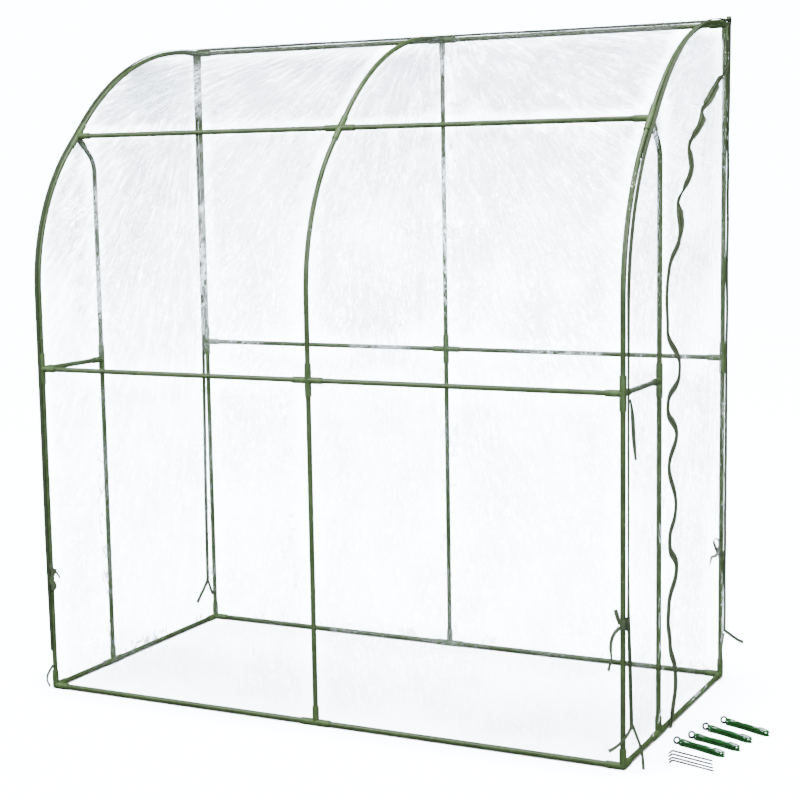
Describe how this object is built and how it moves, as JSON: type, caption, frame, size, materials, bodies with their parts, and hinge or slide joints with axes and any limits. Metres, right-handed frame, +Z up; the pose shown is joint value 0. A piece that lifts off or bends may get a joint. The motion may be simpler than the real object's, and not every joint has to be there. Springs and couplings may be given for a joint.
{
  "type": "lean-to greenhouse",
  "caption": "Lean-to greenhouse: green steel tube frame in push-fit fittings with a curved front, under a clear film cover with a zipped end door; guy ropes and pegs beside it.",
  "frame": {"origin": "on the floor, under the middle fitting of the wall side", "axes": "+X along the wall to the right as seen from the front, +Y towards the wall, +Z up"},
  "size_m": [2.3541, 1.0101, 2.1528],
  "materials": {
    "tube_green": "powder coat, semi-gloss",
    "fitting_green": "moulded, satin",
    "clear_film": "clear film, glossy",
    "tape_green": "woven edge tape",
    "zip_green": "coil zip on woven tape",
    "slider_metal": "painted die casting",
    "ribbon_green": "woven ribbon",
    "rope_green": "twisted cord",
    "ring_steel": "dull",
    "peg_steel": "drawn wire"
  },
  "bodies": {
    "greenhouse": {"front_upright_left": "tube_green", "front_upright_middle": "tube_green", "front_upright_right": "tube_green", "rear_upright_lower_left": "tube_green", "rear_upright_lower_middle": "tube_green", "rear_upright_lower_right": "tube_green", "rear_upright_upper_left": "tube_green", "rear_upright_upper_middle": "tube_green", "rear_upright_upper_right": "tube_green", "arch_lower_left": "tube_green", "arch_lower_middle": "tube_green", "arch_lower_right": "tube_green", "arch_upper_left": "tube_green", "arch_upper_middle": "tube_green", "arch_upper_right": "tube_green", "base_rails_front": "tube_green", "base_rails_rear": "tube_green", "middle_rails_front": "tube_green", "middle_rails_rear": "tube_green", "arch_rails": "tube_green", "ridge_rails": "tube_green", "base_side_rail_front_left": "tube_green", "base_side_rail_front_right": "tube_green", "base_side_rail_rear_left": "tube_green", "base_side_rail_rear_right": "tube_green", "middle_side_rail_left": "tube_green", "middle_side_rail_right": "tube_green", "door_post_lower_left": "tube_green", "door_post_lower_right": "tube_green", "door_post_upper_left": "tube_green", "door_post_upper_right": "tube_green", "base_corner_fittings": "fitting_green", "base_tee_fittings": "fitting_green", "side_cross_fittings": "fitting_green", "middle_cross_fittings": "fitting_green", "upright_tee_fittings": "fitting_green", "ridge_corner_fittings": "fitting_green", "ridge_middle_fitting": "fitting_green", "arch_end_fittings": "fitting_green", "arch_middle_fitting": "fitting_green", "front_roof_sheet": "clear_film", "back_sheet": "clear_film", "left_end_panel": "clear_film", "right_end_panel": "clear_film", "edge_tape_left": "tape_green", "edge_tape_right": "tape_green", "edge_tape_ridge": "tape_green", "zip_tape_panel": "zip_green", "ribbon_ties": "ribbon_green", "rope_hank_1": "rope_green", "rope_hank_2": "rope_green", "rope_hank_3": "rope_green", "rope_hank_4": "rope_green", "rope_rings": "ring_steel", "ground_pegs": "peg_steel"},
    "door": {"door_flap": "clear_film", "zip_tape_door": "zip_green"},
    "zip_slider": {"zip_slider": "slider_metal"}
  },
  "joints": [
    {"name": "door_swing", "type": "hinge", "parent": "greenhouse", "child": "door", "pos_m": [1.0018, 0, 1], "axis": [0, 0, 1], "range_deg": [0, 90]},
    {"name": "zip_slide", "type": "slide", "parent": "greenhouse", "child": "zip_slider", "axis": [0, 0, 1], "range_m": [0, 1.4]}
  ]
}
